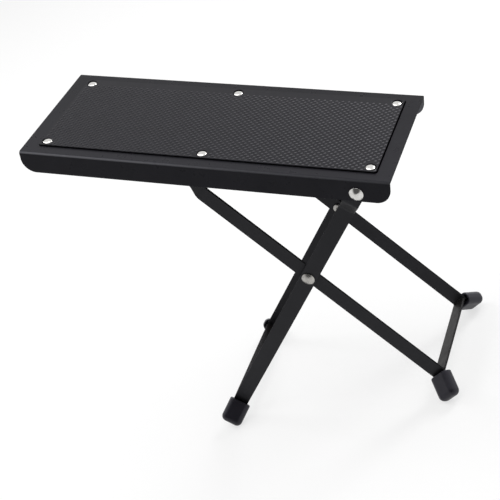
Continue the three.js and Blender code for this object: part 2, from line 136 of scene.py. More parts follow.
# The tread's axes, its origin under the middle of the mat, and the joints, from the record
tread_top = next(mount for mount in RECORD["mounts"] if mount["name"] == "tread_top")
JOINTS = {joint["name"]: Vector(joint["pos_m"]) for joint in RECORD["behaviour"]["joints"]}
UP = Vector(tread_top["axis"])
ALONG = Vector((UP.z, 0, -UP.x))
ACROSS = Vector((0, 1, 0))
TILT = math.atan2(UP.x, UP.z)
TREAD_ORIGIN = Vector(tread_top["pos_m"]) - UP * (GAP + MAT_THICK) * MM


def local(origin, turn):
    """A frame in millimetres, turned about the cross axis"""
    return Matrix.Translation(origin) @ Matrix.Rotation(turn, 4, "Y") @ Matrix.Scale(MM, 4)


TREAD = local(TREAD_ORIGIN, TILT)
HINGE = local(JOINTS["tread_hinge"], TILT)
OUTER = local(JOINTS["tread_hinge"], math.pi - math.radians(OUTER_ANGLE) + TILT)
INNER = local(JOINTS["scissor_pivot"], math.radians(INNER_ANGLE) + TILT)

# Camera, fitted to the photo in the tread's frame
CAMERA_AT = Vector((274.6285, -627.9078, 416.7201))
CAMERA_RIGHT = Vector((0.9450878, 0.3054149, -0.1163217))
CAMERA_DOWN = Vector((0.1007382, -0.6108312, -0.7853261))
CAMERA_AHEAD = Vector((-0.3109032, 0.7304841, -0.608056))
FOCAL_PX, FRAME_PX, SENSOR = 1203.793, 500, 36


def add_camera():
    data = bpy.data.cameras.new("camera")
    data.sensor_fit = "HORIZONTAL"
    data.sensor_width = SENSOR
    data.lens = SENSOR * FOCAL_PX / FRAME_PX
    data.clip_start, data.clip_end = 0.05, 20
    o = bpy.data.objects.new("camera", data)
    bpy.context.scene.collection.objects.link(o)
    turn = TREAD.to_3x3().normalized()
    rows = Matrix((turn @ CAMERA_RIGHT, turn @ -CAMERA_DOWN, turn @ -CAMERA_AHEAD))
    o.matrix_world = Matrix.Translation(TREAD @ CAMERA_AT) @ rows.transposed().to_4x4()
    bpy.context.scene.camera = o
    return o


camera = add_camera()


# Node materials
class Tree:
    """The nodes of a material or of the world"""

    def __init__(self, owner):
        owner.use_nodes = True
        self.nodes, self.links = owner.node_tree.nodes, owner.node_tree.links

    def feed(self, node, inputs):
        """Links the inputs whose value is another node's output, and sets the others"""
        for key, value in inputs.items():
            if isinstance(value, bpy.types.NodeSocket):
                self.links.new(value, node.inputs[key])
            else:
                node.inputs[key].default_value = value

    def add(self, kind, output, inputs=None, **settings):
        """Adds a node, and gives its output of that name"""
        node = self.nodes.new("ShaderNode" + kind)
        for name, value in settings.items():
            setattr(node, name, value)
        self.feed(node, inputs or {})
        return node.outputs[output]

    def noise(self, scale, detail, rough=0.5):
        return self.add("TexNoise", "Fac", {
            "Vector": self.add("TexCoord", "Object"),
            "Scale": scale, "Detail": detail, "Roughness": rough,
        })

    def ramp(self, source, stops):
        """Colours or greys, blended between the stops"""
        node = self.nodes.new("ShaderNodeValToRGB")
        elements = node.color_ramp.elements
        while len(elements) < len(stops):
            elements.new(0.5)
        for element, (at, color) in zip(elements, stops):
            element.position = at
            element.color = (*color, 1) if isinstance(color, tuple) else (color, color, color, 1)
        self.feed(node, {"Fac": source})
        return node.outputs["Color"]

    def product(self, a, b):
        return self.add("Math", "Value", {0: a, 1: b}, operation="MULTIPLY")

    def absolute(self, value):
        return self.add("Math", "Value", {0: value}, operation="ABSOLUTE")

    def dot(self, vector, axis):
        return self.add("VectorMath", "Value", {0: vector, 1: axis}, operation="DOT_PRODUCT")

    def facing(self, axis):
        """1 where the surface looks along the axis, and -1 where it looks the other way"""
        return self.dot(self.add("TexCoord", "Normal"), axis)

    def along(self, axis):
        """The place along an axis from the tread's origin, in metres"""
        where = self.add("TexCoord", "Object")
        offset = self.add("VectorMath", "Vector", {0: where, 1: TREAD_ORIGIN}, operation="SUBTRACT")
        return self.dot(offset, axis)

    def share(self, value, start, end):
        """From 0 at start to 1 at end, both in millimetres"""
        span = {"Value": value, "From Min": start * MM, "From Max": end * MM}
        return self.add("MapRange", "Result", span)

    def mixed(self, factor, plain, other):
        """A plain colour, with another one where the factor is 1"""
        colors = {"Factor": factor, "A": plain, "B": (*other, 1)}
        return self.add("Mix", "Result", colors, data_type="RGBA")

    def shade(self, factor, plain, other):
        """A plain shader, with another one where the factor is 1"""
        return self.add("MixShader", "Shader", {"Fac": factor, 1: plain, 2: other})


# Marks on the materials, most of them painted light and shade: a colour, where along an axis it
# fades in, from none to full, and which way the marked surface looks, as stops of a ramp over its
# cosine to an axis
# painted light: the tread's top is painted lighter towards the near side
PAINTED_MARGIN_LIGHT, MARGIN_FADE = (0.019, 0.0185, 0.0225), (25, -50)
TOP_LOOK = [(0.8, 0.0), (0.97, 0.85)]
# painted highlight along the tread's long bends, strongest at the high end
PAINTED_BEND_HIGHLIGHT, BEND_SPAN = (0.16, 0.16, 0.175), (-120, 120)
BEND_HIGHLIGHT_FADE = [(0.0, 1.0), (0.3, 0.85), (0.6, 0.5), (1.0, 0.28)]
BEND_ANGLE = 50  # from upwards to sideways, where the painted highlight on a bend is strongest
BEND_LOOK = [(0.86, 0.0), (0.95, 0.55), (0.99, 1.0)]
# painted light: the inner faces of the flanges are painted lighter
PAINTED_FLANGE_LIGHT = (0.16, 0.16, 0.178)
INSIDE_FADE = -0.9 * TREAD_DEPTH / 2, -(TREAD_DEPTH / 2 - SHEET - 0.5)
# painted highlights on the tips of the mat's grain, strongest towards the low end
PAINTED_TIP_HIGHLIGHT, TIP_HIGHLIGHT_SPAN = (0.085, 0.083, 0.092), (-110, 90)
TIP_HIGHLIGHT_FADE = [(0.0, 0.16), (0.4, 0.34), (1.0, 1.0)]
TIP_FADE = GAP + MAT_THICK - DOT_HEIGHT * 0.8, GAP + MAT_THICK
# painted light on the upper half of the mat's wall
PAINTED_WALL_LIGHT, WALL_FADE = (0.05, 0.049, 0.055), (GAP + 0.3, GAP + 0.55)
WALL_LOOK = [(0.1, 1.0), (0.4, 0.0)]
CUT_EDGE_LOOK, SHEET_END_LOOK = [(0.3, 1.0), (0.6, 0.0)], [(0.15, 0.0), (0.35, 1.0)]
EDGE_ROUGHNESS = (0.85, 0.85, 0.85)
COLOR_STOPS, GLOSS_STOPS, PATCH_DETAIL = (0.3, 0.7), (0.3, 0.75), 4
GLOSS_TINT = (0.9, 0.9, 1.0, 1)


def tread_wear(tree, plain):
    """Painted light on the tread: its top is painted lighter towards the near side, its long bends
    carry a painted highlight, strongest at the high end, and the inner faces of its flanges are
    painted lighter"""
    top = tree.ramp(tree.facing(UP), TOP_LOOK)
    near = tree.share(tree.along(ACROSS), *MARGIN_FADE)
    plain = tree.mixed(tree.product(top, near), plain, PAINTED_MARGIN_LIGHT)
    normal = tree.add("TexCoord", "Normal")
    folded = tree.add("VectorMath", "Vector", {0: normal}, operation="ABSOLUTE")
    a = math.radians(BEND_ANGLE)
    bend_highlight = tree.ramp(tree.dot(folded, UP * math.cos(a) + ACROSS * math.sin(a)), BEND_LOOK)
    highlight_fade = tree.ramp(tree.share(tree.along(ALONG), *BEND_SPAN), BEND_HIGHLIGHT_FADE)
    plain = tree.mixed(tree.product(bend_highlight, highlight_fade), plain, PAINTED_BEND_HIGHLIGHT)
    outward = tree.product(tree.facing(ACROSS), tree.along(ACROSS))
    return tree.mixed(tree.share(outward, *INSIDE_FADE), plain, PAINTED_FLANGE_LIGHT)


def mat_wear(tree, plain):
    """Painted highlights on the tips of the grain, strongest towards the low end, and
    painted light on the upper half of the mat's wall"""
    tips = tree.share(tree.along(UP), *TIP_FADE)
    highlight_fade = tree.ramp(tree.share(tree.along(ALONG), *TIP_HIGHLIGHT_SPAN), TIP_HIGHLIGHT_FADE)
    plain = tree.mixed(tree.product(tips, highlight_fade), plain, PAINTED_TIP_HIGHLIGHT)
    wall = tree.ramp(tree.facing(UP), WALL_LOOK)
    upper = tree.share(tree.along(UP), *WALL_FADE)
    return tree.mixed(tree.product(wall, upper), plain, PAINTED_WALL_LIGHT)


def bar_edges(tree):
    """1 on the cut edges of the flat bars, whose faces look across the object; the leg coat paints
    these edges near black, as painted shade
    """
    return tree.ramp(tree.absolute(tree.facing(ACROSS)), CUT_EDGE_LOOK)


def sheet_ends(tree):
    """1 on the two ends of the tread's sheet"""
    return tree.ramp(tree.absolute(tree.facing(ALONG)), SHEET_END_LOOK)


def surface(name, dark, light, rough, patches, gloss, relief, constants,
            wear=None, edges=None, edge_color=None):
    """A material with patches of colour, patches of gloss, and a relief in layers"""
    material = bpy.data.materials.new(name)
    tree = Tree(material)
    color = tree.ramp(tree.noise(patches, PATCH_DETAIL), list(zip(COLOR_STOPS, (dark, light))))
    cloud = tree.noise(gloss["scale"], gloss["detail"], gloss["rough"])
    levels = rough - gloss["below"], rough + gloss["above"]
    roughness = tree.ramp(cloud, list(zip(GLOSS_STOPS, levels)))
    # painted light and shade laid over the colour, on the tread and the mat
    if wear:
        color = wear(tree, color)
    if edges:
        edge = edges(tree)
        color = tree.mixed(edge, color, edge_color)
        roughness = tree.mixed(edge, roughness, EDGE_ROUGHNESS)
    lower = {}
    for layer in relief:
        normal = tree.add("Bump", "Normal", {
            "Height": tree.noise(layer["scale"], layer["detail"]),
            "Strength": layer["strength"], "Distance": layer["height"] * MM, **lower,
        })
        lower = {"Normal": normal}
    shader = tree.nodes["Principled BSDF"]
    tree.feed(shader, {"Base Color": color, "Roughness": roughness, "Normal": normal, **constants})
    return material


def coat(name, dark, light, rough, grain, specular, **marks):
    """Powder coat, with orange peel and a fine grain"""
    return surface(
        name, dark, light, rough, patches=60,
        gloss=dict(scale=130, detail=5, rough=0.6, below=0.05, above=0.07),
        relief=[
            dict(scale=700, detail=2, strength=0.25, height=0.05),
            dict(scale=2600, detail=2, strength=grain, height=0.03),
        ],
        constants={"Specular Tint": GLOSS_TINT, "Specular IOR Level": specular}, **marks)


def metal(name, dark, light, rough, scratch):
    """Plated metal, with fine scratches"""
    return surface(
        name, dark, light, rough, patches=420,
        gloss=dict(scale=900, detail=5, rough=0.65, below=0.04, above=0.1),
        relief=[dict(scale=2200, detail=3, strength=scratch, height=0.02)],
        constants={"Metallic": 1})


def rubber(name, dark, light, rough, grain, scale, specular, **marks):
    return surface(
        name, dark, light, rough, patches=90,
        gloss=dict(scale=200, detail=4, rough=0.6, below=0.05, above=0.05),
        relief=[dict(scale=scale, detail=3, strength=grain, height=0.05)],
        constants={"Specular Tint": GLOSS_TINT, "Specular IOR Level": specular}, **marks)


MATERIALS = {
    "plate_coat": coat("plate_coat", (0.0088, 0.0086, 0.0108), (0.012, 0.0117, 0.0145),
                       rough=0.3, grain=0.2, specular=0.1,
                       wear=tread_wear, edges=sheet_ends, edge_color=(0.02, 0.02, 0.022)),
    # painted shade: the bars' cut edges are painted near black
    "leg_coat": coat("leg_coat", (0.009, 0.009, 0.010), (0.012, 0.012, 0.013),
                     rough=0.42, grain=0.3, specular=0.2,
                     edges=bar_edges, edge_color=(0.002, 0.002, 0.0022)),
    "nickel": metal("nickel", (0.6, 0.59, 0.575), (0.7, 0.69, 0.675), rough=0.15, scratch=0.1),
    "zinc": metal("zinc", (0.35, 0.34, 0.325), (0.45, 0.437, 0.415), rough=0.26, scratch=0.25),
    "mat_rubber": rubber("mat_rubber", (0.004, 0.0036, 0.0055), (0.006, 0.0056, 0.008),
                         rough=0.36, grain=0.05, scale=2500, specular=0.17, wear=mat_wear),
    "cap_rubber": rubber("cap_rubber", (0.010, 0.0092, 0.0135), (0.0135, 0.0125, 0.018),
                         rough=0.4, grain=0.25, scale=2000, specular=0.35),
}
BAR_COAT = coat("bar_coat", (0.009, 0.0078, 0.0074), (0.012, 0.0106, 0.0102),
                rough=0.46, grain=0.3, specular=0.16)
# near-black rubber for the painted shadow along the mat's edge
SHADOW_BLACK = rubber("shadow_black", (0.0015, 0.0015, 0.002), (0.003, 0.003, 0.0035),
              rough=0.8, grain=0.3, scale=1500, specular=0.0)


# Mesh helpers
def add_piece(name, bm, matrix, slot, nodes, body, sharp=32,
              bevel=0.0, segments=3, bevel_angle=40, look=None):
    """Makes an object of a mesh in millimetres, softens its edges, hangs it on its body and hides
    the CAD nodes it stands for
    """
    bmesh.ops.remove_doubles(bm, verts=bm.verts, dist=MERGE_WITHIN)
    bmesh.ops.recalc_face_normals(bm, faces=bm.faces)
    mesh = bpy.data.meshes.new(name)
    bm.to_mesh(mesh)
    bm.free()
    mesh.transform(matrix)
    o = bpy.data.objects.new(name, mesh)
    bpy.context.scene.collection.objects.link(o)
    if bevel:
        modifier = o.modifiers.new("bevel", "BEVEL")
        modifier.width = bevel * MM
        modifier.segments = segments
        modifier.limit_method = "ANGLE"
        modifier.angle_limit = math.radians(bevel_angle)
        bake(o)
    for polygon in o.data.polygons:
        polygon.use_smooth = True
    o.data.set_sharp_from_angle(angle=math.radians(sharp))
    modifier = o.modifiers.new("weighted", "WEIGHTED_NORMAL")
    modifier.mode = "FACE_AREA"
    modifier.keep_sharp = True
    bake(o)
    o.data.materials.clear()
    o.data.materials.append(look or MATERIALS[slot])
    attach(o, body)
    if nodes:
        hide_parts(*nodes)


def bake(o):
    """Applies the object's modifiers"""
    depsgraph = bpy.context.evaluated_depsgraph_get()
    mesh = bpy.data.meshes.new_from_object(o.evaluated_get(depsgraph))
    o.modifiers.clear()
    o.data = mesh


def quarter(steps):
    """The angles of a quarter turn"""
    return [math.pi / 2 * step / steps for step in range(steps + 1)]


def bridge(bm, loops):
    """Joins closed loops, each to the next"""
    for a, b in zip(loops, loops[1:]):
        for k in range(len(a)):
            n = (k + 1) % len(a)
            bm.faces.new((a[k], a[n], b[n], b[k]))


def left_of(start, end):
    direction = (end - start).normalized()
    return Vector((-direction.y, direction.x))


def bent_path(corners, radii, steps):
    """A path in a plane with rounded corners: its points, each with the unit normal to its left"""
    corners = [Vector(corner) for corner in corners]
    path = [(corners[0], left_of(corners[0], corners[1]))]
    for last, corner, following, radius in zip(corners, corners[1:], corners[2:], radii):
        before, after = (last - corner).normalized(), (following - corner).normalized()
        opening = before.angle(after)
        reach = radius / math.tan(opening / 2)
        centre = corner + (before + after).normalized() * radius / math.sin(opening / 2)
        start = corner + before * reach - centre
        cross = before.x * after.y - before.y * after.x
        sweep = (math.pi - opening) * (-1 if cross > 0 else 1)
        for step in range(steps + 1):
            a = sweep * step / steps
            spoke = Vector((start.x * math.cos(a) - start.y * math.sin(a),
                            start.x * math.sin(a) + start.y * math.cos(a)))
            path.append((centre + spoke, spoke.normalized() * (-1 if sweep > 0 else 1)))
    path.append((corners[-1], left_of(corners[-2], corners[-1])))
    return path


def slab(grid, thickness, place):
    """A sheet of even thickness: place puts an entry of the grid at an offset from the middle"""
    bm = bmesh.new()
    sides = [[[bm.verts.new(place(entry, sign * thickness / 2)) for entry in line] for line in grid]
             for sign in (1, -1)]
    rows, columns = len(grid), len(grid[0])
    for side in sides:
        for i in range(rows - 1):
            for j in range(columns - 1):
                bm.faces.new((side[i][j], side[i + 1][j], side[i + 1][j + 1], side[i][j + 1]))
    rim = [(i, 0) for i in range(rows)] + [(rows - 1, j) for j in range(1, columns)]
    rim += [(i, columns - 1) for i in range(rows - 2, -1, -1)]
    rim += [(0, j) for j in range(columns - 2, 0, -1)]
    upper, lower = sides
    for (a, b), (c, d) in zip(rim, rim[1:] + rim[:1]):
        bm.faces.new((upper[a][b], upper[c][d], lower[c][d], lower[a][b]))
    return bm


def lathe(profile, segments=48):
    """Turns points, each a radius and a place along it, about the Y axis"""
    bm = bmesh.new()
    angles = [2 * math.pi * k / segments for k in range(segments)]
    rings = []
    for r, y in profile:
        spots = [(r * math.cos(a), y, r * math.sin(a)) for a in angles] if r else [(0, y, 0)]
        rings.append([bm.verts.new(spot) for spot in spots])
    for a, b in zip(rings, rings[1:]):
        for k in range(segments):
            n = (k + 1) % segments
            if len(a) == 1:
                bm.faces.new((a[0], b[k], b[n]))
            elif len(b) == 1:
                bm.faces.new((a[k], b[0], a[n]))
            else:
                bm.faces.new((a[k], b[k], b[n], a[n]))
    return bm


def set_off(middle, side, outside):
    """A place at a distance from the middle plane, turned to look outwards"""
    turn = Matrix.Rotation(0 if side < 0 else math.pi, 4, "Z")
    return middle @ Matrix.Translation((0, side * outside, 0)) @ turn


# Pieces
def tread_plate():
    out = TREAD_DEPTH / 2 - SHEET / 2
    section = [(-out, -FLANGE), (-out, -SHEET / 2), (out, -SHEET / 2), (out, -FLANGE)]
    path = bent_path(section, [TREAD_BEND - SHEET / 2] * 2, TREAD_STEPS)
    arc = sorted(
        radius - FLANGE - radius * math.sin(math.radians(a))
        for radius, angles in ((LEFT_ROUND, range(84, 0, -7)), (RIGHT_ROUND, range(75, -1, -15)))
        for a in angles)
    near_end, far_end = path[0], path[-1]
    stations = [near_end] + [(Vector((-out, z)), near_end[1]) for z in arc] + path[1:-1]
    stations += [(Vector((out, z)), far_end[1]) for z in reversed(arc)] + [far_end]

    def inset(z, radius):
        """What a rounded corner takes off the flange's end at a height"""
        drop = (radius - FLANGE) - z
        return radius - math.sqrt(max(0.0, radius ** 2 - drop ** 2)) if drop > 0 else 0.0

    grid = []
    for point, normal in stations:
        left = -TREAD_LENGTH / 2 + inset(point.y, LEFT_ROUND)
        right = TREAD_LENGTH / 2 - inset(point.y, RIGHT_ROUND)
        grid.append([(point, normal, left + (right - left) * s) for s in (0, 0.25, 0.5, 0.75, 1)])

    def place(entry, offset):
        point, normal, x = entry
        spot = point + normal * offset
        return (x, spot.x, spot.y)

    add_piece("tread_plate_sheet", slab(grid, SHEET, place), TREAD, "plate_coat", ["tread_plate"],
              "tread", bevel=SHEET_EDGE)


def leg(kind, word, side, corners, radii, matrix, body):
    """A flat bar with a round upper end"""
    (first, normal), *rest = bent_path([(x, side * y) for x, y in corners], radii, BEND_STEPS)
    half = BAR_WIDTH / 2
    grid = []
    for v in [-half * math.cos(math.pi * j / BAR_STEPS) for j in range(BAR_STEPS + 1)]:
        cut = half - math.sqrt(max(0.0, half ** 2 - v * v))
        line = [(Vector((first.x + x, first.y)), normal, v) for x in (cut, half)]
        grid.append(line + [(point, normal_there, v) for point, normal_there in rest])

    def place(entry, offset):
        point, normal_there, v = entry
        spot = point + normal_there * offset
        return (spot.x, spot.y, v)

    add_piece(f"{kind}_leg_bar_{word}", slab(grid, BAR_THICK, place), matrix, "leg_coat",
              [f"{kind}_leg_{word}"], body, bevel=BAR_EDGE)


def tip(splay_at, outside, splay):
    """The two ends of a leg's splayed tip, along the middle of the bar"""
    middle = outside - BAR_THICK / 2
    a = math.radians(splay)
    end = splay_at + TIP_LENGTH * math.cos(a), middle + TIP_LENGTH * math.sin(a)
    return (splay_at, middle), end


OUTER_CORNERS = [
    (-BAR_WIDTH / 2, TONGUE_OUT - BAR_THICK / 2),
    (OUTER_START, TONGUE_OUT - BAR_THICK / 2),
    (OUTER_START + OUTER_RUN, OUTER_OUT - BAR_THICK / 2),
    *tip(HINGE_TO_SPLAY, OUTER_OUT, OUTER_SPLAY),
]
INNER_CORNERS = [
    (-CENTRE_TO_ROD - BAR_WIDTH / 2, CATCH_OUT - BAR_THICK / 2),
    (-INNER_START - INNER_RUN, CATCH_OUT - BAR_THICK / 2),
    (-INNER_START, INNER_OUT - BAR_THICK / 2),
    *tip(CENTRE_TO_SPLAY, INNER_OUT, INNER_SPLAY),
]


def ring(x, half_y, half_z, corner):
    """A rounded rectangle across a leg's tip"""
    points = []
    for k in range(CAP_POINTS):
        a = 2 * math.pi * (k + 0.5) / CAP_POINTS
        y = math.copysign(half_y - corner, math.cos(a)) + corner * math.cos(a)
        z = math.copysign(half_z - corner, math.sin(a)) + corner * math.sin(a)
        points.append((x, y, z))
    return points


def mouth_ring(x, room, corner):
    half_y = BAR_THICK / 2 + room
    return ring(x, half_y, BAR_WIDTH / 2 + room, min(corner, half_y))


def cap_ring(x, inset):
    return ring(x, CAP_DEPTH / 2 - inset, CAP_WIDTH / 2 - inset, CAP_CORNER - inset)


def cap(kind, word, side, splay_at, outside, splay, matrix, body):
    """A rubber cap on a leg's tip, cut flat where it would go below the floor"""
    rings = [mouth_ring(*row) for row in CAP_MOUTH]
    rings += [cap_ring(CAP_RIM * (1 - math.cos(a)), CAP_RIM * (1 - math.sin(a)))
              for a in quarter(RIM_STEPS)]
    rings += [cap_ring(CAP_LENGTH * share, 0) for share in CAP_BODY]
    rings += [cap_ring(CAP_LENGTH - CAP_END_ROUND * (1 - math.sin(a)),
                       CAP_END_ROUND * (1 - math.cos(a))) for a in quarter(END_STEPS)]
    bm = bmesh.new()
    loops = [[bm.verts.new(point) for point in points] for points in rings]
    bridge(bm, loops)
    bm.faces.new(loops[0])
    bm.faces.new(loops[-1])
    at_splay = Matrix.Translation((splay_at, side * (outside - BAR_THICK / 2), 0))
    to_leg = at_splay @ Matrix.Rotation(math.radians(splay) * side, 4, "Z")
    to_leg = to_leg @ Matrix.Translation((CAP_FROM_SPLAY, 0, 0))
    for vert in bm.verts:
        spot = matrix @ (to_leg @ vert.co)
        spot.z = max(spot.z, 0)
        vert.co = matrix.inverted() @ spot
    add_piece(f"{kind}_cap_rubber_{word}", bm, matrix, "cap_rubber", [f"{kind}_cap_{word}"], body,
              sharp=60)


def rivet(name, kind, grip, matrix, slot, node, body):
    """A domed head with a short rim, a shank, and a tail that is rolled outwards"""
    head, power = kind["head"], kind["flatness"]
    profile = []
    for a in quarter(DOME_STEPS)[:-1]:
        share = math.sin(a)
        dome = (kind["dome"] - RIVET_RIM) * (1 - share ** power) ** (2 / power)
        profile.append((head * share, -RIVET_RIM - dome))
    profile += [(head - RIM_ROUND, -RIVET_RIM - RIM_ROUND / 2), (head, -RIVET_RIM + RIM_ROUND)]
    profile += [(head, -HEAD_CHAMFER), (head - HEAD_CHAMFER, 0)]
    profile += [(kind["shank"], 0), (kind["shank"], grip)]
    profile += [(kind["tail"] * r, grip + kind["tail_height"] * y) for r, y in RIVET_TAIL]
    add_piece(name, lathe(profile), matrix, slot, [node], body, sharp=50)


def washer(name, middle, side, outside, bore, node, body):
    r, t, c = WASHER_RADIUS, WASHER_THICK, WASHER_CHAMFER
    profile = [(bore, 0), (r - c, 0), (r, c), (r, t - c), (r - c, t), (bore, t), (bore, 0)]
    add_piece(name, lathe(profile), set_off(middle, side, outside), "zinc", [node], body, sharp=30)


def latch_rod():
    """A rod with a head at each end, outside the legs' catches"""
    neck = CATCH_OUT + GAP
    end, flat = neck + ROD_HEAD_HEIGHT, ROD_HEAD - ROD_ROUND
    half = [(0, end), (flat, end)]
    for degrees in (20, 40, 60, 80, 90):
        a = math.radians(degrees)
        half.append((flat + ROD_ROUND * math.sin(a), end - ROD_ROUND + ROD_ROUND * math.cos(a)))
    half += [(ROD_HEAD, neck + ROD_CHAMFER), (ROD_HEAD - ROD_CHAMFER, neck)]
    half += [(ROD_RADIUS, neck), (ROD_RADIUS, neck - ROD_STEP)]
    profile = [(r, -y) for r, y in half] + [(r, y) for r, y in reversed(half)]
    place = INNER @ Matrix.Translation((-CENTRE_TO_ROD, 0, 0))
    add_piece("latch_rod_turned", lathe(profile), place, "zinc", ["latch_rod"], "inner_frame",
              sharp=30)


def cross_bar(kind, splay_at, inside, matrix, body):
    half, middle = inside - GAP, splay_at - BAR_THICK / 2
    grid = [[(x, y) for y in (-half, 0, half)] for x in (-BAR_WIDTH / 2, BAR_WIDTH / 2)]
    bm = slab(grid, BAR_THICK, lambda entry, offset: (middle + offset, entry[1], entry[0]))
    add_piece(f"{kind}_cross_bar_flat", bm, matrix, "leg_coat", [f"{kind}_cross_bar"], body,
              bevel=BAR_EDGE, look=BAR_COAT)


def weld(kind, word, side, splay_at, inside, matrix, body):
    """A row of overlapping ripples along the joint of the cross bar and the leg"""
    draw = random.Random(f"{kind}{word}")
    middle = splay_at - BAR_THICK / 2
    bm = bmesh.new()
    for k in range(RIPPLES):
        z = (k + 0.5 - RIPPLES / 2) * (BAR_WIDTH - RIPPLE_MARGIN) / RIPPLES
        size = 1.0 + RIPPLE_SPREAD * (draw.random() - 0.5)
        at = Matrix.Translation((middle - BAR_THICK / 2, side * (inside - RIPPLE_IN), z))
        bmesh.ops.create_uvsphere(bm, u_segments=14, v_segments=8, radius=size,
                                  matrix=at @ Matrix.Diagonal(RIPPLE_SHAPE))
    add_piece(f"{kind}_weld_{word}", bm, matrix, "leg_coat", None, body, sharp=70, look=BAR_COAT)


def notch_rack(word):
    """The CAD shape with softened edges"""
    bm = bmesh.new()
    bm.from_mesh(NODES[f"notch_rack_{word}"].data)
    bmesh.ops.remove_doubles(bm, verts=bm.verts, dist=1e-6)
    bmesh.ops.dissolve_limit(bm, angle_limit=math.radians(1), verts=bm.verts, edges=bm.edges)
    for vert in bm.verts:
        vert.co = vert.co / MM
    add_piece(f"notch_rack_angle_{word}", bm, Matrix.Scale(MM, 4), "plate_coat",
              [f"notch_rack_{word}"], "tread", bevel=RACK_EDGE, segments=2, bevel_angle=35)


def mat_outline(reach_at):
    """Points round the mat's corners: reach_at gives their distance from the corner's centre"""
    points = []
    for x_side, y_side, first in ((1, 1, 0), (-1, 1, 90), (-1, -1, 180), (1, -1, 270)):
        for step in range(CORNER_STEPS + 1):
            a = math.radians(first + 90 / CORNER_STEPS * step)
            points.append((x_side * (MAT_X - MAT_CORNER) + reach_at(a) * math.cos(a),
                           y_side * (MAT_Y - MAT_CORNER) + reach_at(a) * math.sin(a)))
    return points


def mat():
    """A rubber sheet with openings round its rivets, and its grain"""
    field = GAP + MAT_THICK - DOT_HEIGHT
    opening = MAT_RIVET["head"] + OPENING_RIM
    openings = []
    for x, y in RIVET_PLACES:
        shift_x = 0 if abs(x) < 1 else math.copysign(OPENING_SHIFT, x)
        openings.append((x + shift_x, y + math.copysign(OPENING_SHIFT, y)))
    outline = mat_outline(lambda a: MAT_CORNER)
    angles = [2 * math.pi * k / OPENING_POINTS for k in range(OPENING_POINTS)]
    bm = bmesh.new()
    levels = []
    for z, wider in [(field - depth, wider) for depth, wider in MAT_DIP] + [(GAP, 0)]:
        radius = opening + wider
        rims = [outline] + [[(px + radius * math.cos(a), py + radius * math.sin(a)) for a in angles]
                            for px, py in openings]
        loops = [[bm.verts.new((x, y, z)) for x, y in rim] for rim in rims]
        edges = [bm.edges.new(ends) for loop in loops for ends in zip(loop, loop[1:] + loop[:1])]
        if z in (field, GAP):
            bmesh.ops.triangle_fill(bm, edges=edges, use_beauty=True, use_dissolve=False)
        levels.append(loops)
    for above, below in zip(levels, levels[1:]):
        for pair in zip(above, below):
            bridge(bm, pair)
    add_grain(bm, field, openings, opening + MAT_DIP[0][1] + DOT_SHORT)
    add_piece("tread_mat_dotted", bm, TREAD, "mat_rubber", ["tread_mat"], "tread", sharp=60)


def add_grain(bm, field, openings, clearance):
    """Rows of slanted dots, left out near the openings and cut at the right and the near edge"""
    slant = Vector((math.cos(math.radians(DOT_SLANT)), math.sin(math.radians(DOT_SLANT))))
    oval = []
    for k in range(DOT_SIDES):
        a = 2 * math.pi * k / DOT_SIDES
        u, v = DOT_LONG * math.cos(a), DOT_SHORT * math.sin(a)
        oval.append((u * slant.x - v * slant.y, u * slant.y + v * slant.x))
    limit_x, limit_y = MAT_X - DOT_INSET, MAT_Y - DOT_INSET
    for row in range(int((FIELD_FAR - FIELD_NEAR) / DOT_PITCH_Y) + 1):
        y = FIELD_NEAR + row * DOT_PITCH_Y
        for column in range(int((FIELD_RIGHT - FIELD_LEFT) / DOT_PITCH_X) + 1):
            x = FIELD_RIGHT - (column + (0.5 if row % 2 else 0)) * DOT_PITCH_X
            if any(math.hypot(x - px, y - py) < clearance for px, py in openings):
                continue
            loops = [[bm.verts.new((min(x + share * u, limit_x), max(y + share * v, -limit_y),
                                    field + DOT_HEIGHT * height)) for u, v in oval]
                     for share, height in DOT_LEVELS]
            bridge(bm, loops)
            peak, last = bm.verts.new((x, y, field + DOT_HEIGHT)), loops[-1]
            for k in range(DOT_SIDES):
                bm.faces.new((last[k], last[(k + 1) % DOT_SIDES], peak))


def shadow_bead():
    """A black bead along the mat's edge as its painted shadow, widest towards the low end"""
    def width(a):
        right, near = max(0, math.cos(a)), max(0, -math.sin(a))
        return SHADOW_BEAD_LEFT + (SHADOW_BEAD_RIGHT - SHADOW_BEAD_LEFT) * right + SHADOW_BEAD_NEAR * near

    bm = bmesh.new()
    loops = []
    for share, height in SHADOW_BEAD_PROFILE:
        outline = mat_outline(lambda a: MAT_CORNER + share * width(a))
        loops.append([bm.verts.new((x, y, height)) for x, y in outline])
    bridge(bm, loops + loops[:1])
    add_piece("tread_mat_shadow_bead", bm, TREAD, "mat_rubber", None, "tread", sharp=60, look=SHADOW_BLACK)


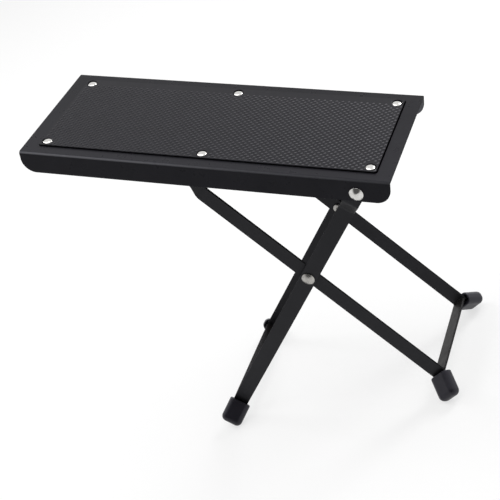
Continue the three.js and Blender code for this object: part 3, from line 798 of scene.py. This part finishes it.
def add_side(word, side):
    """The rivets, washers, legs, caps and rack of the near or the far side"""
    head = TREAD_DEPTH / 2 + GAP
    rivet(f"hinge_rivet_domed_{word}", HINGE_RIVET, head - HINGE_TAIL_OUT,
          set_off(HINGE, side, head), "nickel", f"hinge_rivet_{word}", "tread")
    washer(f"hinge_washer_ring_{word}", HINGE, side, HINGE_WASHER_OUT, HINGE_RIVET["shank"] + GAP,
           f"hinge_washer_{word}", "tread")
    leg("outer", word, side, OUTER_CORNERS, [BAR_BEND] * 3, OUTER, "outer_frame")
    cap("outer", word, side, HINGE_TO_SPLAY, OUTER_OUT, OUTER_SPLAY, OUTER, "outer_frame")
    centre, head = OUTER @ Matrix.Translation((HINGE_TO_CENTRE, 0, 0)), OUTER_OUT + GAP
    rivet(f"centre_rivet_domed_{word}", CENTRE_RIVET, head - CENTRE_TAIL_OUT,
          set_off(centre, side, head), "zinc", f"centre_rivet_{word}", "outer_frame")
    washer(f"centre_washer_ring_{word}", centre, side, CENTRE_WASHER_OUT,
           CENTRE_RIVET["shank"] + GAP, f"centre_washer_{word}", "outer_frame")
    leg("inner", word, side, INNER_CORNERS, [CATCH_BEND, CATCH_BEND, BAR_BEND], INNER,
        "inner_frame")
    cap("inner", word, side, CENTRE_TO_SPLAY, INNER_OUT, INNER_SPLAY, INNER, "inner_frame")
    notch_rack(word)


tread_plate()
mat()
shadow_bead()
for k, (x, y) in enumerate(RIVET_PLACES):
    upright = TREAD @ Matrix.Translation((x, y, GAP)) @ Matrix.Rotation(-math.pi / 2, 4, "X")
    rivet(f"mat_rivet_domed_{k + 1}", MAT_RIVET, GAP + SHEET + GAP, upright,
          "nickel", f"mat_rivet_{k + 1}", "tread")
for word, side in SIDES:
    add_side(word, side)
cross_bar("outer", HINGE_TO_SPLAY, OUTER_IN, OUTER, "outer_frame")
cross_bar("inner", CENTRE_TO_SPLAY, INNER_IN, INNER, "inner_frame")
for word, side in SIDES:
    weld("outer", word, side, HINGE_TO_SPLAY, OUTER_IN, OUTER, "outer_frame")
    weld("inner", word, side, CENTRE_TO_SPLAY, INNER_IN, INNER, "inner_frame")
latch_rod()


# Floor: pale paper that the camera and mirrored rays see partly as a white glow
FLOOR_REACH, PAPER, GLOW_STRENGTH, GLOW_SHARE = 6, (0.9, 0.9, 0.9, 1), 1.06, 0.65
WHITE = (1, 1, 1, 1)


def paper():
    material = bpy.data.materials.new("floor_paper")
    tree = Tree(material)
    shader = tree.nodes["Principled BSDF"]
    tree.feed(shader, {"Base Color": PAPER, "Roughness": 0.9, "Specular IOR Level": 0})
    path = tree.nodes.new("ShaderNodeLightPath")
    seen = path.outputs["Is Camera Ray"]
    for word in ("Is Glossy Ray", "Is Transmission Ray"):
        seen = tree.add("Math", "Value", {0: seen, 1: path.outputs[word]}, operation="MAXIMUM")
    glow = tree.add("Emission", "Emission", {"Color": WHITE, "Strength": GLOW_STRENGTH})
    mix = tree.shade(tree.product(seen, GLOW_SHARE), shader.outputs["BSDF"], glow)
    tree.feed(tree.nodes["Material Output"], {"Surface": mix})
    return material


bm = bmesh.new()
bmesh.ops.create_grid(bm, x_segments=2, y_segments=2, size=FLOOR_REACH)
floor_mesh = bpy.data.meshes.new("floor")
bm.to_mesh(floor_mesh)
bm.free()
floor_mesh.materials.append(paper())
floor = bpy.data.objects.new("floor", floor_mesh)
bpy.context.scene.collection.objects.link(floor)


# World: a soft sky that is darker above the camera, and white where the camera sees it
DARK_SIDE = Vector((0.15, -0.8, 0.58)).normalized()
SKY_LIGHT = [(0.0, 0.5), (0.72, 0.45), (0.9, 0.12)]
SKY_MIRRORED = [(0.0, 1.0), (0.62, 0.9), (0.84, 0.1)]


def add_world():
    world = bpy.data.worlds.new("world")
    bpy.context.scene.world = world
    tree = Tree(world)
    toward = tree.dot(tree.add("TexCoord", "Generated"), DARK_SIDE)
    background = tree.nodes["Background"]
    tree.feed(background, {"Color": tree.ramp(toward, SKY_LIGHT), "Strength": 1})
    mirrored = tree.add("Background", "Background", {"Color": tree.ramp(toward, SKY_MIRRORED)})
    plain = tree.add("Background", "Background", {"Color": WHITE, "Strength": 1})
    path = tree.nodes.new("ShaderNodeLightPath")
    sky = tree.shade(path.outputs["Is Glossy Ray"], background.outputs["Background"], mirrored)
    for word in ("Is Transmission Ray", "Is Camera Ray"):
        sky = tree.shade(path.outputs[word], sky, plain)
    tree.feed(tree.nodes["World Output"], {"Surface": sky})


def add_light(name, at, toward, size, power):
    data = bpy.data.lights.new(name, "AREA")
    data.energy = power
    data.size = size
    o = bpy.data.objects.new(name, data)
    bpy.context.scene.collection.objects.link(o)
    o.location = at
    o.rotation_euler = (Vector(toward) - Vector(at)).to_track_quat("-Z", "Y").to_euler()


def mirror_place(point, away):
    """The place that a point of the tread's top mirrors into the camera, and that point"""
    lit = TREAD @ Vector(point)
    view = (lit - camera.matrix_world.translation).normalized()
    return lit + (view - 2 * view.dot(UP) * UP) * away, lit


add_world()
add_light("top_soft", (-0.1, 0.1, 1.7), (0, 0, 0.1), size=1.5, power=13)
add_light("left_soft", (-1.25, 0.55, 1.2), (0, 0, 0.15), size=0.5, power=6)
add_light("right_soft", *mirror_place((320, -60, 0), 1.35), size=0.5, power=9)
